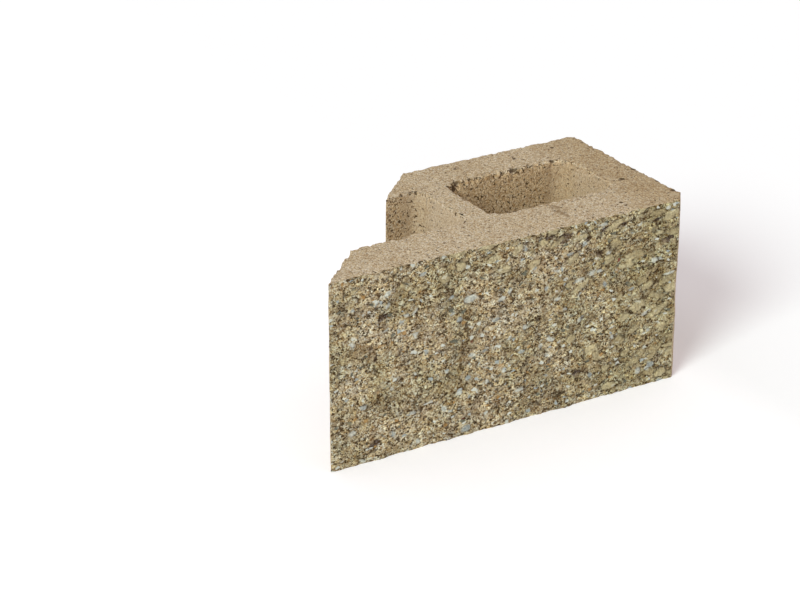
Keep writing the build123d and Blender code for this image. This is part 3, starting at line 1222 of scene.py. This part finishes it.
def moulded_concrete():
    """Moulded faces: sand colour, browner on the walls, towards the back and in broad patches, with fine
    grain, pinholes, and gaps between the grains on the back walls and where the rims are torn. Light and
    shade are painted too: browner back walls, darker corners and a dark spot in the cells, paler walls in the
    closed cell, dark notches below the torn rims, and pale lines and teeth along the rims."""
    material, tree, shader = new_material("Moulded concrete", 0.92)
    place = block_place(tree)
    torn = attribute(tree, "torn")
    along, depth, height = add(tree, "ShaderNodeSeparateXYZ", {0: place}).outputs
    wall, inside, back_wall, corner = moulded_zones(tree, along, depth, height)
    to_back = ranged(tree, depth, *BROWN_BACK, 0.0, BROWN_BACK_SHARE)
    colour = blended(tree, largest(tree, to_back, ranged(tree, along, *BROWN_END)), SAND, BROWN_SAND)
    patch = ranged(tree, noise(tree, place, PATCH_SIZE, 4.0), 0.46, 0.72, 0.0, PATCH_SHARE)
    colour = blended(tree, patch, colour, TAN_PATCH, "MULTIPLY")
    # Painted light: the closed cell's walls are paler than the half cell's
    wall_colour = blended(tree, ranged(tree, along, *CLOSED_WALLS), HALF_WALL, CELL_WALL)
    wall_colour = blended(tree, inside, OUTER_WALL, wall_colour)
    colour = blended(tree, wall, colour, wall_colour)
    # Painted shade: the cells' back walls, which face away from the lamp and lie in the front shells' shadow,
    # are browner
    colour = blended(tree, back_wall, colour, BACK_WALL_SHADE_TINT, "MULTIPLY")
    # Painted shade: the corners at the right ends of the cells are darkened
    colour = blended(tree, corner, colour, CORNER_SHADE_TINT, "MULTIPLY")

    # Painted highlight: a pale line along the rounded rims, and paler teeth between the notches of the torn
    # rims
    rim_highlight = math_of(tree, "SUBTRACT", ranged(tree, torn, 0.18, 0.3), ranged(tree, torn, 0.32, 0.5))
    colour = blended(tree, rim_highlight, colour, RIM_HIGHLIGHT_TINT, "MULTIPLY")
    teeth_highlight = math_of(tree, "SUBTRACT", ranged(tree, torn, 0.55, 0.85), ranged(tree, torn, 0.95, 1.1))
    colour = blended(tree, teeth_highlight, colour, TEETH_HIGHLIGHT_TINT, "MULTIPLY")

    opened = ranged(tree, torn, *NOTCH_TORN_RANGE, *TORN_OPENNESS)
    opened = math_of(tree, "ADD", opened, times(tree, back_wall, BACK_WALL_OPENNESS))
    fine = grains_of(tree, place, FINE_GRAIN, opened)
    coarse = grains_of(tree, place, COARSE_GRAIN, opened)
    even = colour
    colour = toned(tree, colour, fine["Lot"], *FINE_TONES)
    colour = toned(tree, colour, coarse["Lot"], *COARSE_TONES)
    side_wall = math_of(tree, "SUBTRACT", wall, back_wall)
    colour = blended(tree, times(tree, side_wall, SIDE_WALL_EVENNESS), colour, even)

    # Painted shade: the deepest notches of the torn rims are darkened on the wall below the rim, together
    # with the gaps between the grains
    notch_shade = times(tree, ranged(tree, torn, 1.1, 1.5), ranged(tree, height, *NOTCH_SHADE_DROP), NOTCH_SHADE_DARKNESS)
    gaps = largest(tree, times(tree, fine["Gap"], FINE_GAPS), coarse["Gap"], notch_shade)
    pinholes = pores_of(tree, place, *PINHOLES)
    wall_pits = times(tree, pores_of(tree, place, *WALL_PITS), back_wall)
    # The pits hold the painted shade in the closed cell's corner as well
    pits, mark = marked_places(tree, place)
    holes = largest(tree, pinholes, wall_pits, pits, gaps)
    colour = blended(tree, times(tree, mark, MARK_DARKNESS), colour, MARK_BROWN)
    colour = blended(tree, times(tree, holes, HOLE_DARKNESS), colour, PORE_BROWN)
    tree.links.new(colour, shader.inputs["Base Color"])
    relief = math_of(tree, "SUBTRACT", times(tree, fine["Height"], GRAIN_RELIEF), holes)
    add_bump(tree, shader, relief, *MOULDED_BUMP)
    return material


# Split front: sizes in millimetres, and how strong each effect is. A variation is an amount and a warmth, and
# pores are a spacing, a share and a width
GRAIN_TURN = radians(-14.0)
GRAIN_STRETCH = (0.7, 1.0, 1.0)
OPENNESS_SIZE = 30.0
SPLIT_OPENNESS = (-0.02, 0.08)
TEAR_OPENNESS = 0.12
SPLIT_FINE = 1.15
SPLIT_MIDDLE = 2.3
SPLIT_COARSE = 5.4
COARSE_CLOSED = -0.1
OLIVE_SIZE = 46.0
END_TINT_PLACES = (20.0, 170.0)
CLOUD_SIZE = 17.0
CLOUD_PLACES = (0.0, 120.0)
CLOUD_SHARES = (0.56, 0.82)
TEAR_SHARE = 0.8
SPLIT_COARSE_TONES = (0.14, 0.09)
SPLIT_MIDDLE_TONES = (0.15, 0.10)
SPLIT_FINE_TONES = (0.58, 0.06)
CLUSTER_SIZE = 13.0
CLUSTER_SHARES = (0.45, 1.0)
SMALL_PORE_SPACING = 2.5
SMALL_PORE_WIDTH = 0.8
WIDE_PORES = (6.0, 0.45, 1.0)
MIDDLE_GAPS = 0.9
COARSE_GAPS = 0.8
SPLIT_FINE_GAPS = 0.5
HOLLOW_SHADE_DARKNESS = 0.6
PIT_DARKNESS = 0.95
FINE_RELIEF = 0.35
FACET_RELIEF = 0.7
PIT_RELIEF = 0.9
SPLIT_BUMP = (1.0, 0.9 * MM)

# Small stones in cells of the matrix: a channel of the cell's random colour, its limit and the stone's colour
SMALL_STONE = 2.7
SMALL_STONE_SHARE = 0.85
SMALL_STONES = (
    (0, "LESS_THAN", 0.016, PALE_STONE),
    (0, "GREATER_THAN", 0.993, BLUE_STONE),
    (1, "LESS_THAN", 0.010, DARK_STONE),
    (1, "GREATER_THAN", 0.995, OCHRE_STONE),
    (2, "LESS_THAN", 0.0004, RED_STONE),
)

# Ramp of the stones' colours by their kind, and how much of the colour shows by kind: most on pale and blue
# stones, little on plain gravel and more again on flakes and on red and ochre stones
STONE_SMOOTH = 0.4
BLUE_KINDS = 0.03
STONE_RAMP = (
    (0.045, MATRIX),
    (0.26, SAND),
    (0.32, OLIVE_MATRIX),
    (0.41, DARK_STONE),
    (0.43, OLIVE_MATRIX),
    (0.75, FLAKE_OLIVE),
    (0.87, OLIVE_MATRIX),
    (0.95, RED_STONE),
    (0.98, OCHRE_STONE),
)
PLAIN_KINDS = (0.045, 0.05)
PLAIN_SHARES = (0.75, 0.36)
FLAKE_KINDS = (0.74, 0.75)
FLAKE_SHARES = (0.0, 0.66)


def stone_colours(tree, kind):
    """Colour of a stone by its kind."""
    node = add(tree, "ShaderNodeValToRGB", {"Fac": kind})
    ramp = node.color_ramp
    ramp.interpolation = "CONSTANT"
    ramp.elements[0].color = PALE_STONE
    ramp.elements[1].position = BLUE_KINDS
    ramp.elements[1].color = BLUE_STONE
    for position, tint in STONE_RAMP:
        ramp.elements.new(position).color = tint
    return node.outputs["Color"]


def split_concrete():
    """Split front: crumbly matrix, olive and darker in broad patches, broken into tilted grains and flakes
    with dark pits, brown tears and torn sockets, and clean broken stones of several colours. The sunk sockets
    and cracks are darkened, partly brown and partly painted shade. The grains lie a little tilted along the
    block."""
    material, tree, shader = new_material("Split concrete", 0.9)
    place = block_place(tree)
    along = add(tree, "ShaderNodeSeparateXYZ", {0: place}).outputs[0]
    tear = ranged(tree, attribute(tree, "tear"), 0.1, 0.7)
    inputs = {"Vector": place, "Rotation": (0.0, GRAIN_TURN, 0.0), "Scale": GRAIN_STRETCH}
    bedded = add(tree, "ShaderNodeMapping", inputs).outputs[0]
    opened = ranged(tree, noise(tree, place, OPENNESS_SIZE, 3.0), 0.3, 0.7, *SPLIT_OPENNESS)
    opened = math_of(tree, "ADD", opened, times(tree, tear, TEAR_OPENNESS))
    fine = grains_of(tree, place, SPLIT_FINE, opened)
    middle = grains_of(tree, bedded, SPLIT_MIDDLE, opened)
    coarse = grains_of(tree, bedded, SPLIT_COARSE, COARSE_CLOSED)

    olive = ranged(tree, noise(tree, place, OLIVE_SIZE, 3.0), 0.35, 0.68)
    colour = blended(tree, olive, MATRIX, OLIVE_MATRIX)
    colour = blended(tree, ranged(tree, along, *END_TINT_PLACES), colour, END_TINT, "MULTIPLY")
    cloudy = ranged(tree, noise(tree, bedded, CLOUD_SIZE, 3.0), 0.48, 0.66)
    cloudy = times(tree, cloudy, ranged(tree, along, *CLOUD_PLACES, *CLOUD_SHARES))
    # Darker in the given zones and in cloudy patches
    colour = blended(tree, largest(tree, cloudy, attribute(tree, "dark_zone")), colour, DARK_ZONE_TINT, "MULTIPLY")
    colour = blended(tree, times(tree, tear, TEAR_SHARE), colour, TEAR_BROWN)
    colour = toned(tree, colour, coarse["Lot"], *SPLIT_COARSE_TONES)
    colour = toned(tree, colour, middle["Lot"], *SPLIT_MIDDLE_TONES)
    colour = toned(tree, colour, fine["Lot"], *SPLIT_FINE_TONES)

    clustered = ranged(tree, noise(tree, place, CLUSTER_SIZE, 2.0), 0.38, 0.62, *CLUSTER_SHARES)
    pits = largest(
        tree,
        pores_of(tree, place, SMALL_PORE_SPACING, clustered, SMALL_PORE_WIDTH),
        pores_of(tree, bedded, *WIDE_PORES),
        times(tree, middle["Gap"], MIDDLE_GAPS),
        times(tree, coarse["Gap"], COARSE_GAPS),
        times(tree, fine["Gap"], SPLIT_FINE_GAPS),
    )
    # Painted shade, partly brown: the sunk sockets and cracks are darkened towards pore brown
    hollow = ranged(tree, attribute(tree, "hollow"), 0.3, 0.95, 0.0, HOLLOW_SHADE_DARKNESS)
    colour = blended(tree, times(tree, largest(tree, hollow, pits), PIT_DARKNESS), colour, PORE_BROWN)

    stone = attribute(tree, "stone")
    clean = times(tree, stone, STONE_SMOOTH)
    lot = add(tree, "ShaderNodeSeparateColor", {0: cells(tree, bedded, SMALL_STONE).outputs["Color"]}).outputs
    for channel, operation, limit, tint in SMALL_STONES:
        share = times(tree, math_of(tree, operation, lot[channel], limit), SMALL_STONE_SHARE)
        colour = blended(tree, share, colour, tint)
        clean = largest(tree, clean, share)
    kind = attribute(tree, "stone_kind")
    plain = ranged(tree, kind, *PLAIN_KINDS, *PLAIN_SHARES)
    shown = largest(tree, plain, ranged(tree, kind, *FLAKE_KINDS, *FLAKE_SHARES))
    colour = blended(tree, times(tree, stone, shown), colour, stone_colours(tree, kind))
    tree.links.new(colour, shader.inputs["Base Color"])

    facets = math_of(tree, "ADD", middle["Facet"], coarse["Facet"])
    facets = times(tree, facets, FACET_RELIEF)
    rough = math_of(tree, "ADD", times(tree, fine["Height"], FINE_RELIEF), facets)
    relief = math_of(tree, "SUBTRACT", rough, times(tree, pits, PIT_RELIEF))
    relief = times(tree, relief, math_of(tree, "SUBTRACT", 1.0, clean))
    add_bump(tree, shader, relief, *SPLIT_BUMP)
    return material


block = bpy.data.objects.new("corner_block_cast", block_mesh())
bpy.context.scene.collection.objects.link(block)
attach(block, "root")
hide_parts("corner_block")


# Studio: a pale floor, one large soft lamp from the front left, and an even sky

FLOOR_HALF = 12.0
FLOOR_WHITE = (0.95, 0.95, 0.95, 1.0)
LAMP_STRENGTH = 2.3
LAMP_SPREAD = 24.0
LAMP_HEADING = 28.5
LAMP_HEIGHT = 33.0
SKY_STRENGTH = 0.62
LAMP_COLOUR = (0.92, 1.04, 1.02)
SKY_COLOUR = (1.05, 0.975, 0.985, 1.0)
SKY_WHITE = (1.0, 1.0, 1.0, 1.0)
FLOOR_TINT = (1.0, 0.82, 0.9, 1.0)
FLOOR_LIFT = (0.13, 0.04)
FLOOR_LIFT_PLACES = (RIGHT - 20.0, RIGHT + 60.0)


def studio_floor():
    """A level square, far larger than the view. Painted light: it glows a little, pinkish white, where the
    camera sees it, more on the near side and less past the plain end, where the shadow falls."""
    corners = FLOOR_HALF * np.array([(-1, -1, 0), (1, -1, 0), (1, 1, 0), (-1, 1, 0)])
    mesh = bpy.data.meshes.new("studio_floor")
    mesh.from_pydata(corners, [], [(0, 1, 2, 3)])
    material, tree, shader = new_material("Studio floor", 0.9)
    shader.inputs["Base Color"].default_value = FLOOR_WHITE
    shader.inputs["Emission Color"].default_value = FLOOR_TINT
    along = add(tree, "ShaderNodeSeparateXYZ", {0: block_place(tree)}).outputs[0]
    # Painted light: the floor glows for camera rays, more on the near side than past the plain end
    lift = ranged(tree, along, *FLOOR_LIFT_PLACES, *FLOOR_LIFT)
    lift = times(tree, lift, add(tree, "ShaderNodeLightPath").outputs["Is Camera Ray"])
    tree.links.new(lift, shader.inputs["Emission Strength"])
    mesh.materials.append(material)
    floor = bpy.data.objects.new("studio_floor", mesh)
    bpy.context.scene.collection.objects.link(floor)


def studio_light():
    """The lamp's rays travel along its heading, from +X towards +Y, and down from its height. The sky lights
    the block evenly, and is white where it is seen."""
    lamp = bpy.data.lights.new("soft_lamp", "SUN")
    lamp.energy = LAMP_STRENGTH
    lamp.color = LAMP_COLOUR
    lamp.angle = radians(LAMP_SPREAD)
    holder = bpy.data.objects.new("soft_lamp", lamp)
    holder.rotation_euler = (radians(90.0 - LAMP_HEIGHT), 0.0, radians(LAMP_HEADING - 90.0))
    bpy.context.scene.collection.objects.link(holder)
    world = bpy.data.worlds.new("studio_sky")
    bpy.context.scene.world = world
    world.use_nodes = True
    tree = world.node_tree
    tree.nodes.clear()
    path = add(tree, "ShaderNodeLightPath").outputs
    seen = largest(tree, path["Is Camera Ray"], path["Is Glossy Ray"], path["Is Transmission Ray"])
    strength = ranged(tree, seen, 0.0, 1.0, SKY_STRENGTH, 1.0)
    tint = blended(tree, seen, SKY_COLOUR, SKY_WHITE)
    sky = add(tree, "ShaderNodeBackground", {"Color": tint, "Strength": strength})
    add(tree, "ShaderNodeOutputWorld", {"Surface": sky.outputs[0]})


# Camera, fitted to the corners of the block in the photograph: eye in metres, angles in degrees

EYE = (-1.2016, -1.8871, 1.0965)
TURN = 31.017
DIP = 24.229
SENSOR_WIDTH = 36.0
LENS = 113.46


def photo_camera():
    """Looks along +Y, turned towards +X and dipped towards the floor."""
    camera = bpy.data.cameras.new("photo_camera")
    camera.sensor_fit = "HORIZONTAL"
    camera.sensor_width = SENSOR_WIDTH
    camera.lens = LENS
    holder = bpy.data.objects.new("photo_camera", camera)
    holder.location = EYE
    holder.rotation_euler = (radians(90.0 - DIP), 0.0, radians(-TURN))
    bpy.context.scene.collection.objects.link(holder)
    bpy.context.scene.camera = holder


studio_floor()
studio_light()
photo_camera()
bpy.context.scene.view_settings.view_transform = "Standard"
